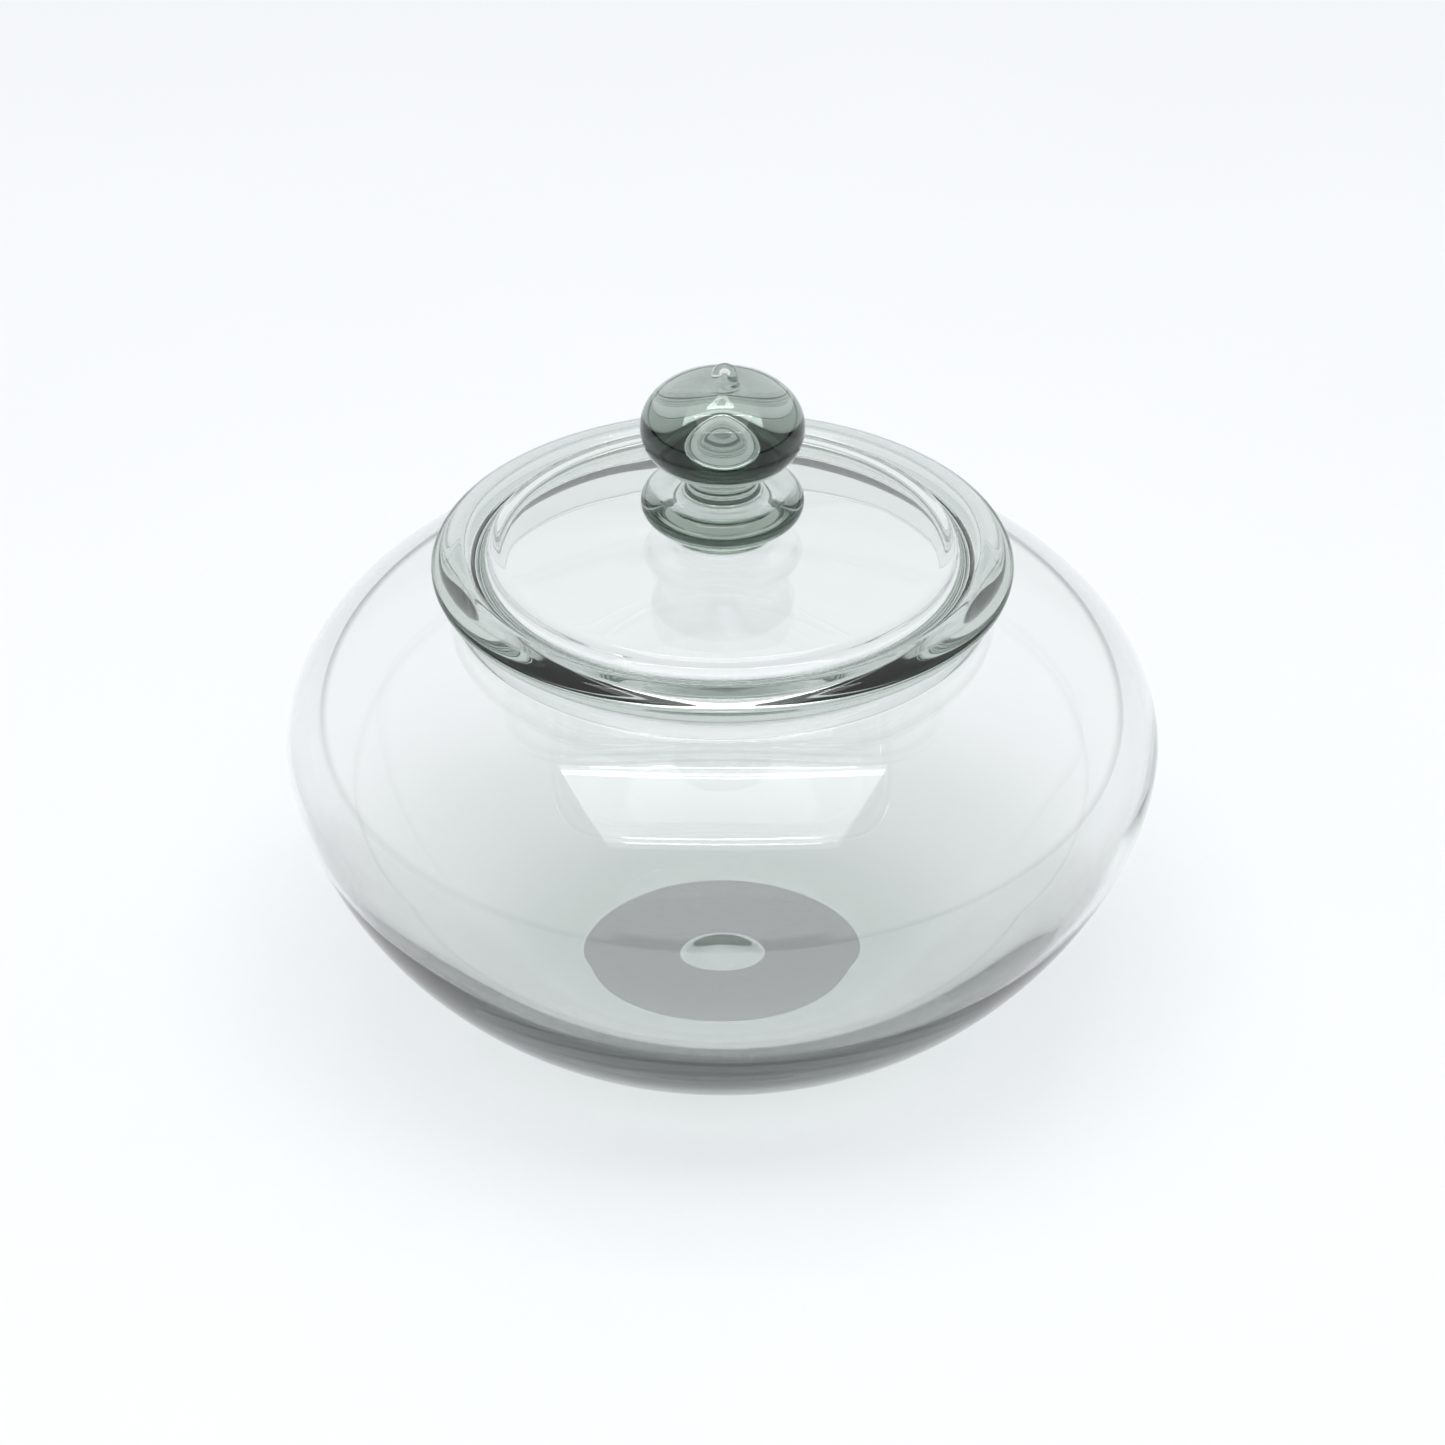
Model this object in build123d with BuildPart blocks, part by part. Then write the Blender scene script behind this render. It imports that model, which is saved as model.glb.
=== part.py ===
from math import cos, radians, sin, tan
import os

from build123d import *

# A squat lidded jar of smoke glass, blown and finished by hand. Millimetres, +Z up.
# The origin is on the table, at the jar's axis. Everything is turned about that axis,
# except the curled tip on top of the knob. Each node is one gather of glass: the jar is
# loose from the lid, and the knob's gathers are fused to the lid's shell and each other.

# ---- jar: the outside ----
equator_radius = 100.0  # the widest circle of the bowl
equator_height = 66.5  # its height above the table
foot_radius = 33.0  # outer edge of the ground flat that the jar stands on
pontil_radius = 10.0  # polished hollow at the middle of the flat
pontil_depth = 1.6
bowl_foot_reach = 38.8  # how far the bowl runs level before it leaves the table
bowl_side_reach = 20.6  # how far it stays upright below the equator
shoulder_side_reach = 9.3  # how far it stays upright above the equator
shoulder_top_reach = 30.1  # how far the shoulder stays straight below the neck
shoulder_slope = 14.0  # degrees above level, where the shoulder meets the neck
shoulder_rise = 37.3  # equator to the foot of the neck

# ---- jar: the neck and the walls ----
mouth_radius = 57.0
lip_wall = 4.0  # the neck and its fire-rounded lip
neck_height = 4.7  # foot of the neck to the top of the lip
neck_fillet = 1.4
shoulder_wall = 2.0
equator_wall = 1.7
base_wall = 9.0  # the heavy bottom, where most of the glass gathers
cavity_side_reach = 16.5  # how far the inside stays upright below the equator
cavity_floor_radius = 30.0  # the level middle of the inside floor
cavity_floor_reach = 49.4  # how far the floor's curve runs level past that middle

# ---- lid: flange, collar and dome ----
seat_gap = 0.3  # air between the lip and the flange above it
collar_gap = 1.5  # air between the mouth and the collar inside it
flange_overhang = 4.7  # how far the flange stands out past the neck
flange_wall = 7.0
flange_edge_width = 6.2  # crest of the flange to its edge
flange_under_width = 4.2  # edge of the flange to the flat below
collar_wall = 2.6
collar_depth = 9.0
collar_fillet = 1.2
groove_drop = 1.7  # flange crest down to the groove inside it
groove_width = 4.6  # crest to groove
step_width = 4.6  # groove to the edge of the dome
step_rise = 4.2
step_round = 3.6  # how far the step curves at its top
dome_rise = 3.1  # edge of the dome to its flat top
dome_wall = 2.5
dome_corner = 5.0  # rounding inside, between the dome and the collar

# ---- lid: the knob ----
knob_foot_radius = 12.9
knob_foot_pinch = 1.2  # how far its waist is drawn in
knob_foot_taper = 0.6  # how far its top is drawn in
knob_foot_height = 3.0
disc_radius = 18.3
disc_wall = 7.5
disc_dish = 0.7  # how far its top is hollowed
neck_waist_radius = 7.7
neck_root_flare = 1.9  # how far it spreads onto the disc
neck_top_flare = 1.0  # how far it spreads under the ball
neck_length = 6.4
ball_radius = 18.5
ball_below = 9.4  # equator of the ball down to the neck
ball_above = 10.9  # equator of the ball up to its flat top
ball_lower_reach = 5.2  # how far its sides stay upright below the equator
ball_upper_reach = 6.0
ball_floor_reach = 5.5  # how far its underside runs level past the neck
ball_crown_reach = 9.5  # how far its top runs level from the tip

# ---- lid: the curled tip, where the glass was pulled off ----
tip_root_radius = 2.6
tip_root_height = 1.0
tip_thread_radius = 1.15
tip_straight = 2.1
tip_curl_radius = 1.8
tip_curl_angle = 170.0

# ---- places that follow from the sizes above ----
neck_radius = mouth_radius + lip_wall
neck_foot_height = equator_height + shoulder_rise
lip_height = neck_foot_height + neck_height
lip_round = lip_wall / 2
slope = radians(shoulder_slope)
shoulder_turn = 90.0 - shoulder_slope
shoulder_end_radius = neck_radius + neck_fillet * (1 - sin(slope))

seat_height = lip_height + seat_gap
flange_radius = neck_radius + flange_overhang
flange_middle = seat_height + flange_wall / 2
flange_crest_radius = flange_radius - flange_edge_width
groove_radius = flange_crest_radius - groove_width
groove_height = seat_height + flange_wall - groove_drop
dome_edge_radius = groove_radius - step_width
dome_edge_height = groove_height + step_rise
dome_height = dome_edge_height + dome_rise
collar_radius = mouth_radius - collar_gap
collar_inside = collar_radius - collar_wall
collar_round = collar_wall / 2
collar_end = seat_height - collar_depth + collar_round

knob_foot_waist = knob_foot_radius - knob_foot_pinch
knob_foot_top = knob_foot_radius - knob_foot_taper
disc_floor = dome_height + knob_foot_height
disc_round = disc_wall / 2
disc_round_radius = disc_radius - disc_round
neck_root_radius = neck_waist_radius + neck_root_flare
neck_top_radius = neck_waist_radius + neck_top_flare
neck_floor = disc_floor + disc_wall - disc_dish
ball_floor = neck_floor + neck_length
ball_middle = ball_floor + ball_below
ball_top = ball_middle + ball_above

os.makedirs("parts", exist_ok=True)

# Jar: one blown bubble, thin at the shoulder and thick at the bottom.
with BuildPart() as jar_body:
    with BuildSketch(Plane.XZ):
        with BuildLine():
            TangentArc((0, pontil_depth), (pontil_radius, 0), tangent=(1, 0))
            Line((pontil_radius, 0), (foot_radius, 0))
            bowl = Bezier(
                (foot_radius, 0),
                (foot_radius + bowl_foot_reach, 0),
                (equator_radius, equator_height - bowl_side_reach),
                (equator_radius, equator_height),
            )
            shoulder = Bezier(
                bowl @ 1,
                (equator_radius, equator_height + shoulder_side_reach),
                (
                    shoulder_end_radius + shoulder_top_reach * cos(slope),
                    neck_foot_height - shoulder_top_reach * sin(slope),
                ),
                (shoulder_end_radius, neck_foot_height),
            )
            neck_outside = JernArc(shoulder @ 1, shoulder % 1, neck_fillet, -shoulder_turn)
            Line(neck_outside @ 1, (neck_radius, lip_height - lip_round))
            ThreePointArc(
                (neck_radius, lip_height - lip_round),
                (neck_radius - lip_round, lip_height),
                (mouth_radius, lip_height - lip_round),
            )
            # The inside of the shoulder is parallel to the outside where they meet the neck.
            throat_radius = neck_fillet + shoulder_wall
            throat_end = mouth_radius + throat_radius * (1 - sin(slope))
            cavity_top_radius = shoulder_end_radius - shoulder_wall * sin(slope)
            cavity_top_height = neck_foot_height - shoulder_wall * cos(slope)
            throat_height = (
                cavity_top_height
                + (cavity_top_radius - throat_end) * tan(slope)
                + throat_radius * cos(slope)
            )
            Line((mouth_radius, lip_height - lip_round), (mouth_radius, throat_height))
            throat = JernArc((mouth_radius, throat_height), (0, -1), throat_radius, shoulder_turn)
            Line(throat @ 1, (cavity_top_radius, cavity_top_height))
            cavity_top = Bezier(
                (cavity_top_radius, cavity_top_height),
                (
                    cavity_top_radius + (shoulder_top_reach - shoulder_wall) * cos(slope),
                    cavity_top_height - (shoulder_top_reach - shoulder_wall) * sin(slope),
                ),
                (equator_radius - equator_wall, equator_height + shoulder_side_reach),
                (equator_radius - equator_wall, equator_height),
            )
            Bezier(
                cavity_top @ 1,
                (equator_radius - equator_wall, equator_height - cavity_side_reach),
                (cavity_floor_radius + cavity_floor_reach, base_wall),
                (cavity_floor_radius, base_wall),
            )
            Polyline((cavity_floor_radius, base_wall), (0, base_wall), (0, pontil_depth))
        make_face()
    revolve(axis=Axis.Z)

# Lid shell: a shallow dome, a thick rolled flange that rests on the lip, and a collar
# below it that drops into the mouth. The flange's underside is flat.
with BuildPart() as lid_shell:
    with BuildSketch(Plane.XZ):
        with BuildLine():
            Line((0, dome_height), (knob_foot_radius, dome_height))
            dome = TangentArc(
                (knob_foot_radius, dome_height),
                (dome_edge_radius, dome_edge_height),
                tangent=(1, 0),
            )
            Bezier(
                dome @ 1,
                (dome @ 1) + (dome % 1) * step_round,
                (groove_radius - step_width / 2, groove_height),
                (groove_radius, groove_height),
            )
            Bezier(
                (groove_radius, groove_height),
                (groove_radius + groove_width / 2, groove_height),
                (flange_crest_radius - groove_width / 2, seat_height + flange_wall),
                (flange_crest_radius, seat_height + flange_wall),
            )
            EllipticalCenterArc(
                (flange_crest_radius, flange_middle),
                flange_edge_width,
                flange_wall / 2,
                start_angle=0,
                arc_size=90,
            )
            EllipticalCenterArc(
                (flange_radius - flange_under_width, flange_middle),
                flange_under_width,
                flange_wall / 2,
                start_angle=270,
                arc_size=90,
            )
            Line(
                (flange_radius - flange_under_width, seat_height),
                (collar_radius + collar_fillet, seat_height),
            )
            TangentArc(
                (collar_radius + collar_fillet, seat_height),
                (collar_radius, seat_height - collar_fillet),
                tangent=(-1, 0),
            )
            Line((collar_radius, seat_height - collar_fillet), (collar_radius, collar_end))
            ThreePointArc(
                (collar_radius, collar_end),
                (collar_radius - collar_round, collar_end - collar_round),
                (collar_inside, collar_end),
            )
            inside_corner = dome_edge_height - dome_wall
            Line((collar_inside, collar_end), (collar_inside, inside_corner - dome_corner))
            Bezier(
                (collar_inside, inside_corner - dome_corner),
                (collar_inside, inside_corner),
                (collar_inside - dome_corner, inside_corner),
            )
            TangentArc(
                (0, dome_height - dome_wall),
                (collar_inside - dome_corner, inside_corner),
                tangent=(1, 0),
            )
            Line((0, dome_height - dome_wall), (0, dome_height))
        make_face()
    revolve(axis=Axis.Z)

# Knob foot: the waisted button of glass that joins the knob to the dome.
with BuildPart() as knob_foot:
    with BuildSketch(Plane.XZ):
        with BuildLine():
            Line((0, dome_height), (knob_foot_radius, dome_height))
            ThreePointArc(
                (knob_foot_radius, dome_height),
                (knob_foot_waist, (dome_height + disc_floor) / 2),
                (knob_foot_top, disc_floor),
            )
            Polyline((knob_foot_top, disc_floor), (0, disc_floor), (0, dome_height))
        make_face()
    revolve(axis=Axis.Z)

# Knob disc: round at its edge, slightly hollow on top.
with BuildPart() as knob_disc:
    with BuildSketch(Plane.XZ):
        with BuildLine():
            Line((0, disc_floor), (disc_round_radius, disc_floor))
            ThreePointArc(
                (disc_round_radius, disc_floor),
                (disc_radius, disc_floor + disc_round),
                (disc_round_radius, disc_floor + disc_wall),
            )
            Bezier(
                (disc_round_radius, disc_floor + disc_wall),
                ((disc_round_radius + neck_root_radius) / 2, disc_floor + disc_wall),
                ((disc_round_radius + neck_root_radius) / 2, neck_floor),
                (neck_root_radius, neck_floor),
            )
            Polyline((neck_root_radius, neck_floor), (0, neck_floor), (0, disc_floor))
        make_face()
    revolve(axis=Axis.Z)

# Knob ball: a flattened ball on a waisted neck, from one gather. The thread where the
# glass was pulled off stands on its top and curls over to one side.
with BuildPart() as knob_ball:
    with BuildSketch(Plane.XZ):
        with BuildLine():
            Line((0, neck_floor), (neck_root_radius, neck_floor))
            ThreePointArc(
                (neck_root_radius, neck_floor),
                (neck_waist_radius, (neck_floor + ball_floor) / 2),
                (neck_top_radius, ball_floor),
            )
            Bezier(
                (neck_top_radius, ball_floor),
                (neck_top_radius + ball_floor_reach, ball_floor),
                (ball_radius, ball_middle - ball_lower_reach),
                (ball_radius, ball_middle),
            )
            Bezier(
                (ball_radius, ball_middle),
                (ball_radius, ball_middle + ball_upper_reach),
                (tip_root_radius + ball_crown_reach, ball_top),
                (tip_root_radius, ball_top),
            )
            Bezier(
                (tip_root_radius, ball_top),
                (tip_thread_radius, ball_top),
                (tip_thread_radius, ball_top + tip_root_height),
            )
            Polyline(
                (tip_thread_radius, ball_top + tip_root_height),
                (0, ball_top + tip_root_height),
                (0, neck_floor),
            )
        make_face()
    revolve(axis=Axis.Z)
    with BuildLine(Plane.XZ) as tip_path:
        rise = Line((0, ball_top + tip_root_height / 2), (0, ball_top + tip_straight))
        JernArc(rise @ 1, rise % 1, tip_curl_radius, tip_curl_angle)
    with BuildSketch(Plane.XY.offset(ball_top + tip_root_height / 2)):
        Circle(tip_thread_radius)
    sweep(path=tip_path.wires()[0])
    with Locations(tip_path.wires()[0] @ 1):
        Sphere(tip_thread_radius)

pieces = {
    "jar_body": jar_body,
    "lid_shell": lid_shell,
    "knob_foot": knob_foot,
    "knob_disc": knob_disc,
    "knob_ball": knob_ball,
}
for name, piece in pieces.items():
    piece.part.label = name
    export_step(piece.part, f"parts/{name}.step")
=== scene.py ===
import math

import bpy
import numpy as np
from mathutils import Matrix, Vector


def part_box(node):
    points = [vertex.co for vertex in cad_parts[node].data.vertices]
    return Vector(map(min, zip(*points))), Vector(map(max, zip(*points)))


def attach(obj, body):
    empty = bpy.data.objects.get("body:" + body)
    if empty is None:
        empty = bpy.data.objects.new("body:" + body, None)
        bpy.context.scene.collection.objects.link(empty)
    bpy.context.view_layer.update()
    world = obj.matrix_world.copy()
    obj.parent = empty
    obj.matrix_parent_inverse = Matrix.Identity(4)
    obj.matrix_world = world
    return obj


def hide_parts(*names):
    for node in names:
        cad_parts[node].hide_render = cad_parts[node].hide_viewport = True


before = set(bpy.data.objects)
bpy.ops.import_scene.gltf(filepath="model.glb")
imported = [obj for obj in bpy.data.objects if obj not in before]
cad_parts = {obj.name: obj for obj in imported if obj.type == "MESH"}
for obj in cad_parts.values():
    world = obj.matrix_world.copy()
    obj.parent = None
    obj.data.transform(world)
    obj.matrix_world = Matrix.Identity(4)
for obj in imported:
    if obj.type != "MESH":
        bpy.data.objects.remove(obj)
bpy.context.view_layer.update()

# A blown smoke-glass jar with a loose lid. Profiles are in millimetres, as (radius, height) rows,
# and become metres when they are turned into a mesh.
mm = 0.001


def curveRow(points, count):
    # Bezier row: each point is the mix of its handles, weighted by powers of t and 1 - t
    t = np.linspace(0.0, 1.0, count)[:, None]
    handles = [np.array(p, float) for p in points]
    degree = len(handles) - 1
    return sum(
        math.comb(degree, i) * (1 - t) ** (degree - i) * t**i * h for i, h in enumerate(handles)
    )


def arcRow(centre, radii, startDeg, endDeg, count):
    # ellipse row: centre + (radius along r) cos(angle), (radius along z) sin(angle)
    angle = np.radians(np.linspace(startDeg, endDeg, count))
    return np.c_[centre[0] + radii[0] * np.cos(angle), centre[1] + radii[1] * np.sin(angle)]


def joinRows(rows):
    # one long row, without the points that two rows share
    kept = [rows[0]]
    for row in rows[1:]:
        kept.append(row[1:] if np.hypot(*(row[0] - kept[-1][-1])) < 1e-6 else row)
    return np.vstack(kept)


def unevenness(angle, along, seed, stretch, waveCounts=(1, 2, 3, 5, 7)):
    # hand-made swell: a few waves round the axis, each drifting along the profile, added up;
    # a wave that goes round more times is lower in proportion
    rng = np.random.default_rng(seed)
    total = np.zeros(np.broadcast(angle, along).shape)
    for waves in waveCounts:
        phase, drift, size = rng.uniform(0, 2 * math.pi), rng.normal(), rng.uniform(0.5, 1.0)
        total += size / waves * np.sin(waves * angle + phase + drift * along / stretch)
    return total


def turnedMesh(name, rings, firstPole, lastPole):
    # rings is rows x segments x 3; neighbours are joined by quads, and each end by a fan to its pole
    rows, segments, _ = rings.shape
    points = np.vstack([rings.reshape(-1, 3), firstPole, lastPole]) * mm
    row, column = np.meshgrid(np.arange(rows - 1), np.arange(segments), indexing="ij")
    nextColumn = (column + 1) % segments
    quads = np.stack(
        [
            row * segments + column,
            row * segments + nextColumn,
            (row + 1) * segments + nextColumn,
            (row + 1) * segments + column,
        ],
        axis=-1,
    ).reshape(-1, 4)
    spoke = np.arange(segments)
    nextSpoke = (spoke + 1) % segments
    firstFan = np.c_[np.full(segments, rows * segments), nextSpoke, spoke]
    lastRow = (rows - 1) * segments
    lastFan = np.c_[np.full(segments, rows * segments + 1), lastRow + spoke, lastRow + nextSpoke]
    mesh = bpy.data.meshes.new(name)
    mesh.from_pydata(points.tolist(), [], quads.tolist() + firstFan.tolist() + lastFan.tolist())
    mesh.shade_smooth()
    piece = bpy.data.objects.new(name, mesh)
    bpy.context.scene.collection.objects.link(piece)
    return piece


def rowLength(profile):
    # distance along the profile to each of its points
    return np.r_[0.0, np.cumsum(np.hypot(*np.diff(profile, axis=0).T))]


def newGroup(name, inputs, outputs):
    group = bpy.data.node_groups.new(name, "ShaderNodeTree")
    for label, kind, value in inputs:
        socket = group.interface.new_socket(name=label, in_out="INPUT", socket_type=kind)
        if value is not None:
            socket.default_value = value
    for label, kind in outputs:
        group.interface.new_socket(name=label, in_out="OUTPUT", socket_type=kind)
    return group, group.nodes.new("NodeGroupInput"), group.nodes.new("NodeGroupOutput")


def mathNode(tree, operation, first, second):
    node = tree.nodes.new("ShaderNodeMath")
    node.operation = operation
    for socket, value in zip(node.inputs, (first, second)):
        if isinstance(value, (int, float)):
            socket.default_value = value
        else:
            tree.links.new(value, socket)
    return node.outputs[0]


def blownGlassGroup():
    # Streaks: faint rings drawn out by the turning pipe. Ripple: slow swell of the wall. Smudge:
    # cloudy touch marks for the roughness. Height is in metres.
    group, given, result = newGroup(
        "blownGlass",
        [
            ("Vector", "NodeSocketVector", None),
            ("Streak Height", "NodeSocketFloat", 1e-5),
            ("Streak Scale", "NodeSocketFloat", 60.0),
            ("Ripple Height", "NodeSocketFloat", 2e-5),
            ("Ripple Scale", "NodeSocketFloat", 25.0),
            ("Smudge", "NodeSocketFloat", 0.02),
        ],
        [("Height", "NodeSocketFloat"), ("Roughness", "NodeSocketFloat")],
    )
    links = group.links
    streakDrift = 0.08  # how far the streaks wander from true rings
    smudgeScale = 40.0
    # turned coordinates: distance from the axis, a little of the sideways place, and height
    split = group.nodes.new("ShaderNodeSeparateXYZ")
    links.new(given.outputs["Vector"], split.inputs[0])
    x, y, z = split.outputs
    squares = mathNode(
        group, "ADD", mathNode(group, "MULTIPLY", x, x), mathNode(group, "MULTIPLY", y, y)
    )
    radius = mathNode(group, "SQRT", squares, 0.0)
    turned = group.nodes.new("ShaderNodeCombineXYZ")
    links.new(radius, turned.inputs[0])
    links.new(mathNode(group, "MULTIPLY", x, streakDrift), turned.inputs[1])
    links.new(z, turned.inputs[2])
    streaks = group.nodes.new("ShaderNodeTexNoise")
    streaks.inputs["Detail"].default_value = 3.0
    links.new(turned.outputs[0], streaks.inputs["Vector"])
    links.new(given.outputs["Streak Scale"], streaks.inputs["Scale"])
    ripple = group.nodes.new("ShaderNodeTexNoise")
    ripple.inputs["Detail"].default_value = 1.0
    links.new(given.outputs["Vector"], ripple.inputs["Vector"])
    links.new(given.outputs["Ripple Scale"], ripple.inputs["Scale"])
    height = mathNode(
        group,
        "ADD",
        mathNode(group, "MULTIPLY", streaks.outputs[0], given.outputs["Streak Height"]),
        mathNode(group, "MULTIPLY", ripple.outputs[0], given.outputs["Ripple Height"]),
    )
    links.new(height, result.inputs["Height"])
    smudge = group.nodes.new("ShaderNodeTexNoise")
    smudge.inputs["Scale"].default_value = smudgeScale
    smudge.inputs["Detail"].default_value = 4.0
    links.new(given.outputs["Vector"], smudge.inputs["Vector"])
    cloud = mathNode(group, "MULTIPLY", mathNode(group, "SUBTRACT", smudge.outputs[0], 0.5), 2.0)
    cloud = mathNode(group, "MAXIMUM", cloud, 0.0)
    links.new(mathNode(group, "MULTIPLY", cloud, given.outputs["Smudge"]), result.inputs["Roughness"])
    return group


def glassMaterial(name, finish, group):
    material = bpy.data.materials.new(name)
    material.use_nodes = True
    tree = material.node_tree
    tree.nodes.clear()
    output = tree.nodes.new("ShaderNodeOutputMaterial")
    shader = tree.nodes.new("ShaderNodeBsdfPrincipled")
    shader.inputs["Base Color"].default_value = (1, 1, 1, 1)
    shader.inputs["Metallic"].default_value = 0.0
    shader.inputs["IOR"].default_value = finish["ior"]
    shader.inputs["Transmission Weight"].default_value = 1.0
    tree.links.new(shader.outputs[0], output.inputs["Surface"])
    coordinates = tree.nodes.new("ShaderNodeTexCoord")
    surface = tree.nodes.new("ShaderNodeGroup")
    surface.node_tree = group
    tree.links.new(coordinates.outputs["Object"], surface.inputs["Vector"])
    for label in ("Streak Height", "Streak Scale", "Ripple Height", "Ripple Scale", "Smudge"):
        surface.inputs[label].default_value = finish[label]
    tree.links.new(surface.outputs["Roughness"], shader.inputs["Roughness"])
    bump = tree.nodes.new("ShaderNodeBump")
    bump.inputs["Strength"].default_value = 1.0
    bump.inputs["Distance"].default_value = 1.0
    tree.links.new(surface.outputs["Height"], bump.inputs["Height"])
    tree.links.new(bump.outputs[0], shader.inputs["Normal"])
    depth = tree.nodes.new("ShaderNodeVolumeAbsorption")
    depth.inputs["Color"].default_value = (*finish["tint"], 1)
    depth.inputs["Density"].default_value = finish["density"]
    tree.links.new(depth.outputs[0], output.inputs["Volume"])
    return material


jar = {
    "segments": 360,
    "equatorHeight": 66.5,
    "footRadius": 33.0,
    "pontilRadius": 10.0,
    "pontilDepth": 1.6,
    "bowlFootReach": 38.8,
    "bowlSideReach": 20.6,
    "shoulderSideReach": 9.3,
    "shoulderTopReach": 30.1,
    "shoulderSlope": 14.0,
    "mouthRadius": 57.0,
    "lipWall": 4.0,
    "neckHeight": 4.7,
    "neckFillet": 1.4,
    "shoulderWall": 2.0,
    "equatorWall": 1.7,
    "baseWall": 9.0,
    "cavitySideReach": 16.5,
    "cavityFloorRadius": 30.0,
    "cavityFloorReach": 49.4,
    "swell": 0.12,
    "wallSwell": 0.18,
    "swellStretch": 25.0,
    "endFlat": 8.0,  # height at the foot and at the lip that has no swell
    "footFade": 30.0,
    "lipFade": 12.0,
    "inset": 0.25,
}


def jarProfile(shape, equatorRadius, lipHeight):
    # up the outside from the hollow of the underside to the lip, then down the inside to the floor
    slope = math.radians(shape["shoulderSlope"])
    rise, run = math.sin(slope), math.cos(slope)
    neckRadius = shape["mouthRadius"] + shape["lipWall"]
    fillet, wall, lipRound = shape["neckFillet"], shape["shoulderWall"], shape["lipWall"] / 2
    neckFoot = lipHeight - shape["neckHeight"]
    shoulderEnd = neckRadius + fillet * (1 - rise)
    equator, foot = shape["equatorHeight"], shape["footRadius"]
    pontil, hollow = shape["pontilRadius"], shape["pontilDepth"]
    outside = [
        curveRow([(0, hollow), (pontil * 0.5, hollow), (pontil * 0.8, 0), (pontil, 0)], 10)[1:],
        curveRow([(pontil, 0), (foot, 0)], 10),
        curveRow(
            [
                (foot, 0),
                (foot + shape["bowlFootReach"], 0),
                (equatorRadius, equator - shape["bowlSideReach"]),
                (equatorRadius, equator),
            ],
            60,
        ),
        curveRow(
            [
                (equatorRadius, equator),
                (equatorRadius, equator + shape["shoulderSideReach"]),
                (
                    shoulderEnd + shape["shoulderTopReach"] * run,
                    neckFoot - shape["shoulderTopReach"] * rise,
                ),
                (shoulderEnd, neckFoot),
            ],
            40,
        ),
        arcRow(
            (neckRadius + fillet, neckFoot + fillet * run),
            (fillet, fillet),
            270 - shape["shoulderSlope"],
            180,
            8,
        ),
        arcRow((neckRadius - lipRound, lipHeight - lipRound), (lipRound, lipRound), 0, 180, 18),
    ]
    # inside, parallel to the outside where the shoulder meets the neck
    throat = fillet + wall
    throatEnd = shape["mouthRadius"] + throat * (1 - rise)
    cavityTop = (shoulderEnd - wall * rise, neckFoot - wall * run)
    throatFoot = cavityTop[1] + (cavityTop[0] - throatEnd) * math.tan(slope)
    insideRadius = equatorRadius - shape["equatorWall"]
    floorRadius = shape["cavityFloorRadius"]
    inside = [
        arcRow(
            (shape["mouthRadius"] + throat, throatFoot + throat * run),
            (throat, throat),
            180,
            270 - shape["shoulderSlope"],
            10,
        ),
        curveRow(
            [
                cavityTop,
                (
                    cavityTop[0] + (shape["shoulderTopReach"] - wall) * run,
                    cavityTop[1] - (shape["shoulderTopReach"] - wall) * rise,
                ),
                (insideRadius, equator + shape["shoulderSideReach"]),
                (insideRadius, equator),
            ],
            40,
        ),
        curveRow(
            [
                (insideRadius, equator),
                (insideRadius, equator - shape["cavitySideReach"]),
                (floorRadius + shape["cavityFloorReach"], shape["baseWall"]),
                (floorRadius, shape["baseWall"]),
            ],
            60,
        ),
        curveRow([(floorRadius, shape["baseWall"]), (0, shape["baseWall"])], 10)[:-1],
    ]
    return joinRows(outside), joinRows(inside)


def buildJar(shape, material):
    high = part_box("jar_body")[1]
    lipHeight = high.z / mm
    outside, inside = jarProfile(shape, high.x / mm - shape["inset"], lipHeight)
    angle = np.linspace(0, 2 * math.pi, shape["segments"], endpoint=False)[None, :]
    rings = []
    for profile, swell, seed in ((outside, shape["swell"], 3), (inside, shape["wallSwell"], 8)):
        # the swell fades out at the ground foot and at the lip, so that it sits and seats flat
        r, z = profile[:, :1], profile[:, 1:]
        fade = np.clip((z - shape["endFlat"]) / shape["footFade"], 0, 1)
        fade = fade * np.clip((lipHeight - shape["endFlat"] - z) / shape["lipFade"], 0, 1)
        radius = r + swell * fade * unevenness(angle, z, seed, shape["swellStretch"])
        rings.append(np.stack([radius * np.cos(angle), radius * np.sin(angle), z + 0 * angle], -1))
    piece = turnedMesh(
        "jarGlass", np.concatenate(rings), [0, 0, shape["pontilDepth"]], [0, 0, shape["baseWall"]]
    )
    piece.data.materials.append(material)
    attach(piece, "jar")
    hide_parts("jar_body")
    return piece


lid = {
    "segments": 280,
    "flangeWall": 7.0,
    "flangeEdgeWidth": 6.2,
    "flangeUnderWidth": 4.2,
    "grooveDrop": 1.7,
    "grooveWidth": 4.6,
    "stepWidth": 4.6,
    "stepRise": 4.2,
    "stepRound": 3.6,
    "domeRise": 3.1,
    "domeWall": 2.5,
    "domeCorner": 5.0,
    "collarRadius": 55.5,
    "collarWall": 2.6,
    "collarDepth": 9.0,
    "collarFillet": 1.2,
    "swell": 0.1,
    "swellStretch": 18.0,
    "fineSwell": 0.02,
    "fineStretch": 6.0,
    "fineWaves": (9, 13, 17, 23),
    "middleFade": 20.0,
    "flangeFade": 9.0,
    "inset": 0.1,
}

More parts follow.
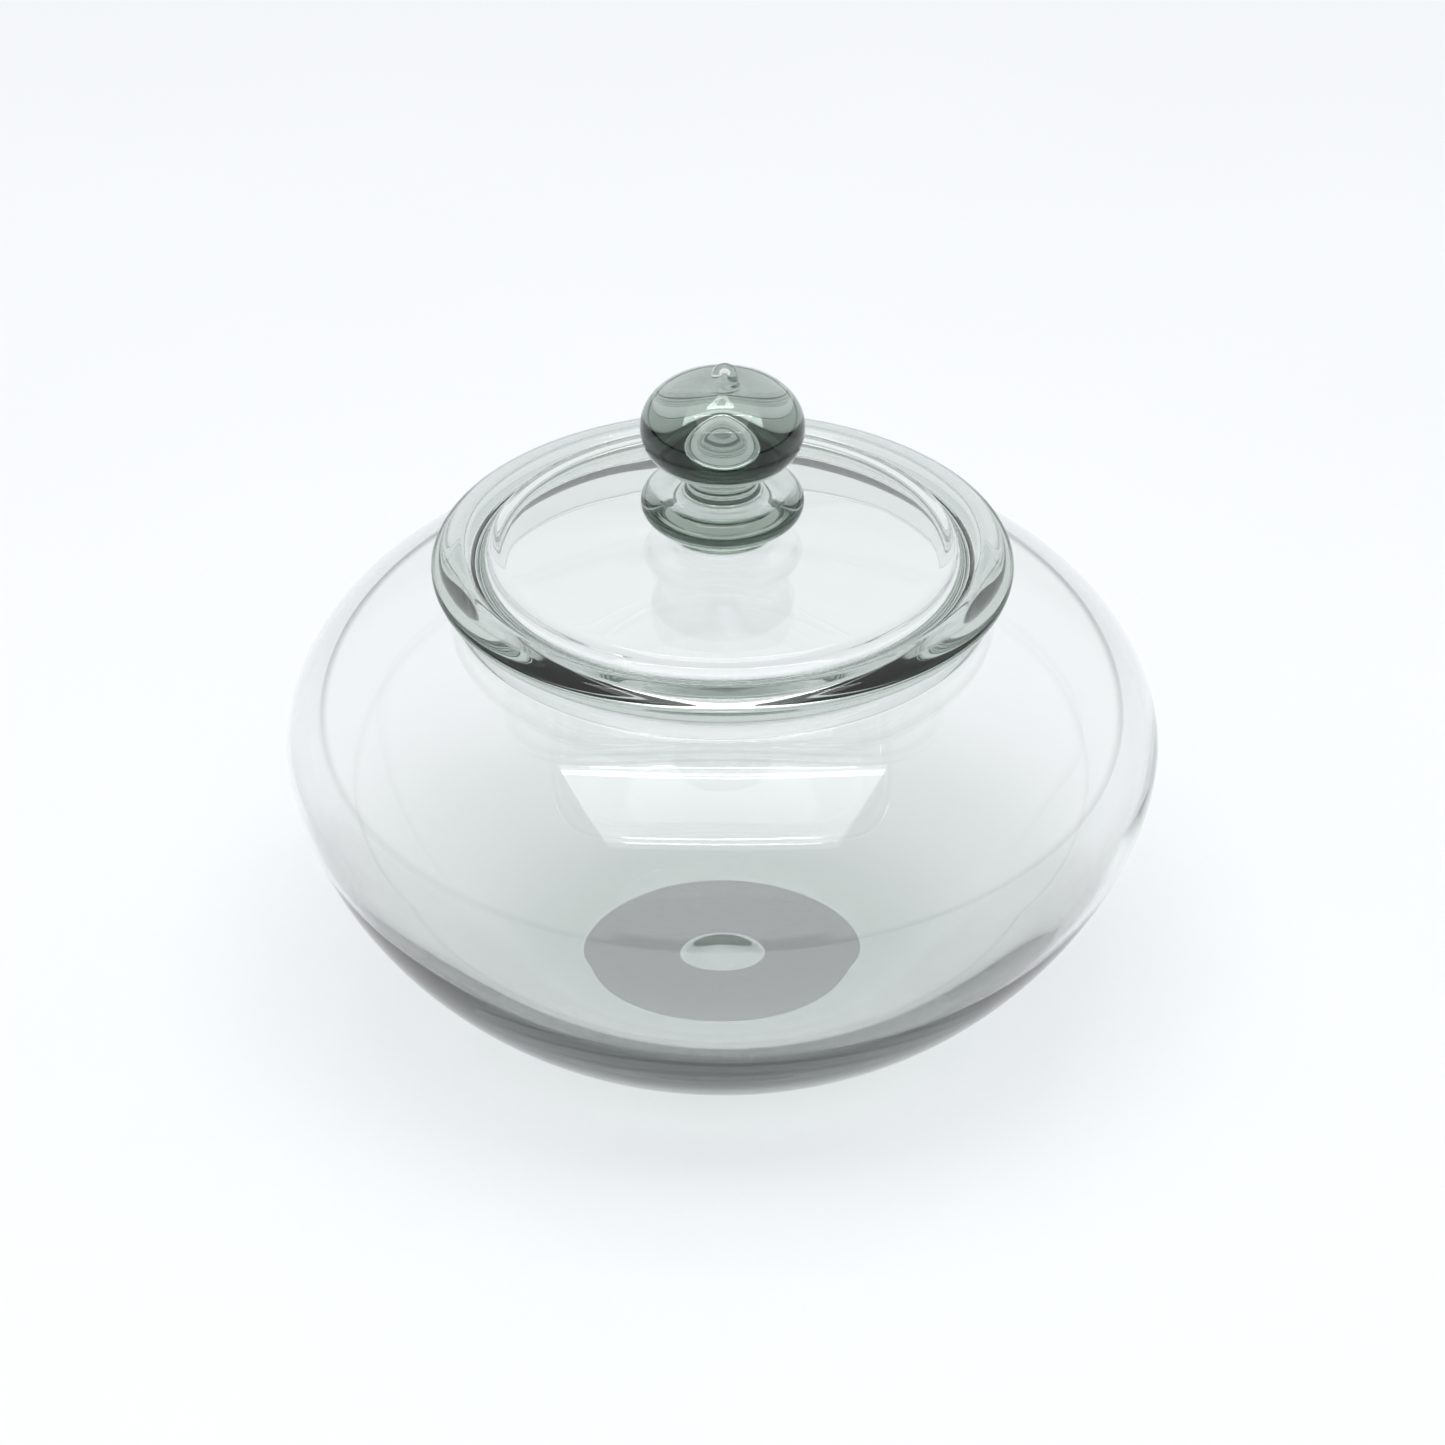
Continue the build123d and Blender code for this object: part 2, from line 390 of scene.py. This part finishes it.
knob = {
    "footRadius": 12.9,
    "footSplay": 1.0,
    "footTuck": 0.6,
    "footTuckHeight": 0.8,
    "footWaist": 11.4,
    "discRadius": 18.3,
    "discWall": 7.5,
    "discDish": 0.7,
    "discUnderReach": 1.0,
    "neckRoot": 9.6,
    "neckWaist": 7.7,
    "neckPinch": 0.3,
    "neckTopReach": 1.2,
    "neckTop": 8.7,
    "ballRadius": 18.4,
    "neckLength": 6.4,
    "ballBelow": 9.4,
    "ballAbove": 10.9,
    "ballLowerReach": 5.2,
    "ballUpperReach": 6.0,
    "ballFloorReach": 5.5,
    "ballCrownReach": 7.3,
    "crownRadius": 4.8,
}

# The root narrows from the crown to the thread, as (offset from the axis, radius, height)
# points. The thread then goes up and over in an arc, and ends in a small bead.
tip = {
    "root": [
        (0.0, 4.8, 0.0),
        (0.3, 3.5, -0.55),
        (1.5, 2.3, -0.5),
        (2.0, 1.6, 0.2),
        (2.2, 1.1, 1.6),
    ],
    "rootRows": 16,
    "curlCentre": (0.45, 2.1),
    "curlRadius": 1.75,
    "curlEnd": 205.0,
    "curlRows": 34,
    "threadRadius": 1.1,
    "beadRadius": 1.2,
    "closingShare": 0.1,  # how much of the curl's length rounds off to its end
    "endTurn": 1.0,  # degrees from the last circle to the point that closes it
}


def lidProfile(shape, knobShape, seat, flangeRadius):
    # from the middle of the underside out, down the collar, round the flange, and over the dome
    # to the knob's foot
    half = shape["flangeWall"] / 2
    middle, crest = seat + half, seat + shape["flangeWall"]
    crestRadius = flangeRadius - shape["flangeEdgeWidth"]
    grooveRadius, groove = crestRadius - shape["grooveWidth"], crest - shape["grooveDrop"]
    edgeRadius, edge = grooveRadius - shape["stepWidth"], groove + shape["stepRise"]
    top = edge + shape["domeRise"]
    foot, splay = knobShape["footRadius"], knobShape["footSplay"]
    collar, collarInside = shape["collarRadius"], shape["collarRadius"] - shape["collarWall"]
    collarRound = shape["collarWall"] / 2
    collarEnd = seat - shape["collarDepth"] + collarRound
    corner = edge - shape["domeWall"]
    cornerRadius = shape["domeCorner"]
    underRadius = flangeRadius - shape["flangeUnderWidth"]
    fillet = shape["collarFillet"]
    domeSlope = 2 * shape["domeRise"] / (edgeRadius - foot)
    underside = [
        curveRow(
            [
                (0, top - shape["domeWall"]),
                ((collarInside - cornerRadius) * 0.5, top - shape["domeWall"]),
                (collarInside - cornerRadius, corner),
            ],
            34,
        )[1:],
        curveRow(
            [
                (collarInside - cornerRadius, corner),
                (collarInside, corner - cornerRadius * domeSlope),
                (collarInside, corner - cornerRadius),
            ],
            12,
        ),
        curveRow([(collarInside, corner - cornerRadius), (collarInside, collarEnd)], 10),
        arcRow((collar - collarRound, collarEnd), (collarRound, collarRound), 180, 360, 12),
        curveRow([(collar, collarEnd), (collar, seat - fillet)], 8),
        arcRow((collar + fillet, seat - fillet), (fillet, fillet), 180, 90, 6),
        curveRow([(collar + fillet, seat), (underRadius, seat)], 6),
        arcRow((underRadius, middle), (shape["flangeUnderWidth"], half), -90, 0, 14),
    ]
    upside = [
        arcRow((crestRadius, middle), (shape["flangeEdgeWidth"], half), 0, 90, 18),
        curveRow(
            [
                (crestRadius, crest),
                (crestRadius - shape["grooveWidth"] / 2, crest),
                (grooveRadius + shape["grooveWidth"] / 2, groove),
                (grooveRadius, groove),
            ],
            14,
        ),
        curveRow(
            [
                (grooveRadius, groove),
                (grooveRadius - shape["stepWidth"] / 2, groove),
                (edgeRadius + shape["stepRound"], edge - shape["stepRound"] * domeSlope),
                (edgeRadius, edge),
            ],
            18,
        ),
        curveRow([(edgeRadius, edge), ((edgeRadius + foot) / 2, top), (foot + splay, top)], 30),
    ]
    return joinRows(underside + upside), top


def knobProfile(shape, floor, neckFloor):
    # the foot, the disc, the neck and the ball, up to the crown where the tip stands
    foot, waist = shape["footRadius"], shape["footWaist"]
    discRound = shape["discWall"] / 2
    discEdge = shape["discRadius"] - discRound
    ballFloor = neckFloor + shape["neckLength"]
    ballMiddle = ballFloor + shape["ballBelow"]
    ballTop = ballMiddle + shape["ballAbove"]
    discFloor = neckFloor + shape["discDish"] - shape["discWall"]
    disc = discFloor + discRound
    middle = (floor + discFloor) / 2
    rows = [
        curveRow(
            [
                (foot + shape["footSplay"], floor),
                (foot - shape["footTuck"], floor),
                (waist, floor + shape["footTuckHeight"]),
                (waist, middle),
            ],
            8,
        ),
        curveRow(
            [
                (waist, middle),
                (waist, discFloor),
                (discEdge - shape["discUnderReach"], discFloor),
                (discEdge, discFloor),
            ],
            8,
        ),
        arcRow((discEdge, disc), (discRound, discRound), -90, 90, 26),
        curveRow(
            [
                (discEdge, disc + discRound),
                ((discEdge + shape["neckRoot"]) / 2, disc + discRound),
                ((discEdge + shape["neckRoot"]) / 2, neckFloor),
                (shape["neckRoot"], neckFloor),
            ],
            10,
        ),
        curveRow(
            [
                (shape["neckRoot"], neckFloor),
                (shape["neckWaist"], neckFloor),
                (shape["neckWaist"] - shape["neckPinch"], (neckFloor + ballFloor) / 2),
                (shape["neckWaist"], ballFloor - shape["neckTopReach"]),
                (shape["neckTop"], ballFloor),
            ],
            16,
        ),
        curveRow(
            [
                (shape["neckTop"], ballFloor),
                (shape["neckTop"] + shape["ballFloorReach"], ballFloor),
                (shape["ballRadius"], ballMiddle - shape["ballLowerReach"]),
                (shape["ballRadius"], ballMiddle),
            ],
            30,
        ),
        curveRow(
            [
                (shape["ballRadius"], ballMiddle),
                (shape["ballRadius"], ballMiddle + shape["ballUpperReach"]),
                (shape["crownRadius"] + shape["ballCrownReach"], ballTop),
                (shape["crownRadius"], ballTop),
            ],
            34,
        ),
    ]
    return joinRows(rows), ballTop


def tipRings(shape, start, angle):
    # root: level circles, each centre + radius (cos, sin); curl: circles square to an arc, so
    # that centre + radius cos along the arc's own radius + radius sin across it
    root = curveRow(shape["root"], shape["rootRows"])[1:]
    offset, rootRadius, rise = root[:, :1], root[:, 1:2], root[:, 2:]
    flat = np.stack(
        [offset + rootRadius * np.cos(angle), rootRadius * np.sin(angle), start + rise + 0 * angle],
        -1,
    )
    turn = np.linspace(0, 1, shape["curlRows"])[:, None]
    sweep = np.radians(shape["curlEnd"]) * turn
    radius = shape["threadRadius"] + (shape["beadRadius"] - shape["threadRadius"]) * turn**4
    # the last part closes as a quarter circle, short of a point
    share = shape["closingShare"]
    closing = np.clip((turn - (1 - share)) / share, 0, 1)
    radius = radius * np.sqrt(np.clip(1 - closing**2, 0.01, 1))
    out = shape["curlRadius"] + radius * np.cos(angle)
    centre = shape["curlCentre"]
    curl = np.stack(
        [
            centre[0] + out * np.cos(sweep),
            radius * np.sin(angle),
            start + centre[1] + out * np.sin(sweep),
        ],
        -1,
    )
    last = np.radians(shape["curlEnd"] + shape["endTurn"])
    end = [
        centre[0] + shape["curlRadius"] * math.cos(last),
        0,
        start + centre[1] + shape["curlRadius"] * math.sin(last),
    ]
    return np.concatenate([flat, curl[1:]]), end


def buildLid(shape, material):
    low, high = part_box("lid_shell")
    seat = low.z / mm + shape["collarDepth"]
    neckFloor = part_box("knob_ball")[0].z / mm
    shell, domeTop = lidProfile(shape, knob, seat, high.x / mm - shape["inset"])
    knobRow, ballTop = knobProfile(knob, domeTop, neckFloor)
    profile = joinRows([shell, knobRow])
    angle = np.linspace(0, 2 * math.pi, shape["segments"], endpoint=False)[None, :]
    r, z = profile[:, :1], profile[:, 1:]
    along = rowLength(profile)[:, None]
    swell = shape["swell"] * unevenness(angle, along, 5, shape["swellStretch"])
    swell += shape["fineSwell"] * unevenness(
        angle, along, 11, shape["fineStretch"], shape["fineWaves"]
    )
    # no swell at the axis or on the outer part of the flange
    fade = np.clip(r / shape["middleFade"], 0, 1)
    fade = fade * np.clip((shape["collarRadius"] + shape["flangeFade"] - r) / shape["flangeFade"], 0, 1)
    height = z + swell * fade
    rings = np.stack([r * np.cos(angle), r * np.sin(angle), height], -1)
    curl, end = tipRings(tip, ballTop, angle)
    piece = turnedMesh(
        "lidGlass", np.concatenate([rings, curl]), [0, 0, domeTop - shape["domeWall"]], end
    )
    piece.data.materials.append(material)
    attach(piece, "lid")
    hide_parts("lid_shell", "knob_foot", "knob_disc", "knob_ball")
    return piece


# The jar stands on a pale sheet in a white tent, which is dim at the horizon and has a
# panel overhead and a low dark opening in front.
studio = {
    "floorRadius": 2.4,
    "floorSegments": 96,
    "floorColor": (0.63, 0.638, 0.649),
    "floorGlow": 0.16,
    "floorGlowColor": (0.975, 0.99, 1.0),
    "floorMottle": 0.02,
    "floorMottleScale": 6.0,
    "floorRoughness": 0.9,
    "floorSpecular": 0.1,
    "tentColor": (0.97, 0.985, 1.0),
    "tentStrength": 1.0,
    "lowStrength": 0.04,
    "lowReach": (-0.02, 0.06),  # how far up a direction points, from all dim to all bright
    "openingStrength": 0.05,
    "openingReach": (-0.93, -0.86),  # how far forward it points, from all dark to all tent
    "openingTop": (0.10, 0.16),
}

panels = [
    {"name": "roofPanel", "size": (0.78, 0.62), "place": (0, -0.13, 0.95), "radiance": 1.8},
    {"name": "roofStripBack", "size": (0.74, 0.012), "place": (0, 0.12, 0.94), "radiance": 12.0},
    {"name": "roofStripFront", "size": (0.66, 0.012), "place": (0, -0.40, 0.94), "radiance": 12.0},
]


def buildFloor(values):
    # a flat disc; its far edge shows in low views, such as at 15 degrees with the lid raised
    angle = np.linspace(0, 2 * math.pi, values["floorSegments"], endpoint=False)
    rim = np.c_[np.cos(angle), np.sin(angle), 0 * angle] * values["floorRadius"]
    mesh = bpy.data.meshes.new("floor")
    mesh.from_pydata(rim.tolist(), [], [list(range(len(rim)))])
    floor = bpy.data.objects.new("floor", mesh)
    bpy.context.scene.collection.objects.link(floor)
    material = bpy.data.materials.new("floorSheet")
    material.use_nodes = True
    tree = material.node_tree
    shader = tree.nodes["Principled BSDF"]
    shader.inputs["Roughness"].default_value = values["floorRoughness"]
    shader.inputs["Specular IOR Level"].default_value = values["floorSpecular"]
    shader.inputs["Emission Color"].default_value = (*values["floorGlowColor"], 1)
    shader.inputs["Emission Strength"].default_value = values["floorGlow"]
    coordinates = tree.nodes.new("ShaderNodeTexCoord")
    mottle = tree.nodes.new("ShaderNodeTexNoise")
    mottle.inputs["Scale"].default_value = values["floorMottleScale"]
    tree.links.new(coordinates.outputs["Object"], mottle.inputs["Vector"])
    ramp = tree.nodes.new("ShaderNodeValToRGB")
    for element, shift in zip(ramp.color_ramp.elements, (-1, 1)):
        level = 1 + shift * values["floorMottle"]
        element.color = (*[c * level for c in values["floorColor"]], 1)
    tree.links.new(mottle.outputs[0], ramp.inputs[0])
    tree.links.new(ramp.outputs[0], shader.inputs["Base Color"])
    mesh.materials.append(material)


def smoothStep(tree, value, limits):
    # 0 below the first limit, 1 above the second, and an even S between them
    node = tree.nodes.new("ShaderNodeMapRange")
    node.interpolation_type = "SMOOTHSTEP"
    node.inputs["From Min"].default_value = limits[0]
    node.inputs["From Max"].default_value = limits[1]
    tree.links.new(value, node.inputs["Value"])
    return node.outputs["Result"]


def buildTent(values):
    # bright above and dim at the horizon; directions both forward and low are dark
    world = bpy.data.worlds.new("tent")
    bpy.context.scene.world = world
    world.use_nodes = True
    tree = world.node_tree
    background = tree.nodes["Background"]
    background.inputs["Color"].default_value = (*values["tentColor"], 1)
    coordinates = tree.nodes.new("ShaderNodeTexCoord")
    split = tree.nodes.new("ShaderNodeSeparateXYZ")
    tree.links.new(coordinates.outputs["Generated"], split.inputs[0])
    upward = smoothStep(tree, split.outputs["Z"], values["lowReach"])
    gain = values["tentStrength"] - values["lowStrength"]
    cloth = mathNode(tree, "MULTIPLY", upward, gain)
    cloth = mathNode(tree, "ADD", cloth, values["lowStrength"])
    sides = smoothStep(tree, split.outputs["Y"], values["openingReach"])
    above = smoothStep(tree, split.outputs["Z"], values["openingTop"])
    closed = mathNode(tree, "MAXIMUM", sides, above)
    strength = mathNode(tree, "MULTIPLY", cloth, closed)
    strength = mathNode(tree, "ADD", strength, values["openingStrength"])
    tree.links.new(strength, background.inputs["Strength"])


def buildPanels(rows, target):
    # each panel faces the target; its power is radiance x pi x area
    for values in rows:
        light = bpy.data.lights.new(values["name"], "AREA")
        light.shape = "RECTANGLE"
        light.size, light.size_y = values["size"]
        light.energy = values["radiance"] * math.pi * light.size * light.size_y
        panel = bpy.data.objects.new(values["name"], light)
        panel.location = values["place"]
        ahead = Vector(target) - Vector(values["place"])
        panel.rotation_euler = ahead.to_track_quat("-Z", "Y").to_euler()
        bpy.context.scene.collection.objects.link(panel)


view = {
    "distance": 1.3,
    "elevation": 32.5,
    "target": (0.0, 0.0, 0.069),
    "lens": 141.2,
    "sensorWidth": 36.0,
    "clipStart": 0.05,
    "clipEnd": 30.0,
}


def buildCamera(values):
    camera = bpy.data.objects.new("camera", bpy.data.cameras.new("camera"))
    camera.data.lens = values["lens"]
    camera.data.sensor_width = values["sensorWidth"]
    camera.data.clip_start = values["clipStart"]
    camera.data.clip_end = values["clipEnd"]
    angle = math.radians(values["elevation"])
    back = Vector((0, -math.cos(angle), math.sin(angle)))
    camera.location = Vector(values["target"]) + back * values["distance"]
    camera.rotation_euler = (-back).to_track_quat("-Z", "Y").to_euler()
    bpy.context.scene.collection.objects.link(camera)
    bpy.context.scene.camera = camera


smoke = {
    "ior": 1.5,
    "tint": (0.257, 0.363, 0.302),
    "density": 33.0,
    "Streak Height": 2e-6,
    "Streak Scale": 120.0,
    "Ripple Height": 4e-5,
    "Ripple Scale": 22.0,
    "Smudge": 0.012,
}

lidSmoke = dict(smoke, density=44.0)  # the tint of the lid's glass is a third denser than the jar's

scene = bpy.context.scene
scene.view_settings.view_transform = "Standard"
scene.cycles.max_bounces = 32
scene.cycles.transmission_bounces = 32
scene.cycles.glossy_bounces = 16
scene.cycles.blur_glossy = 0.0  # light that passes through glass onto the floor keeps its strength

buildCamera(view)
buildTent(studio)
buildPanels(panels, view["target"])
buildFloor(studio)
print("stage: camera, lights and floor are in place")

blownGlass = blownGlassGroup()
jarPiece = buildJar(jar, glassMaterial("jarSmokeGlass", smoke, blownGlass))
print("jar: faces", len(jarPiece.data.polygons))
lidPiece = buildLid(lid, glassMaterial("lidSmokeGlass", lidSmoke, blownGlass))
print("lid: faces", len(lidPiece.data.polygons))
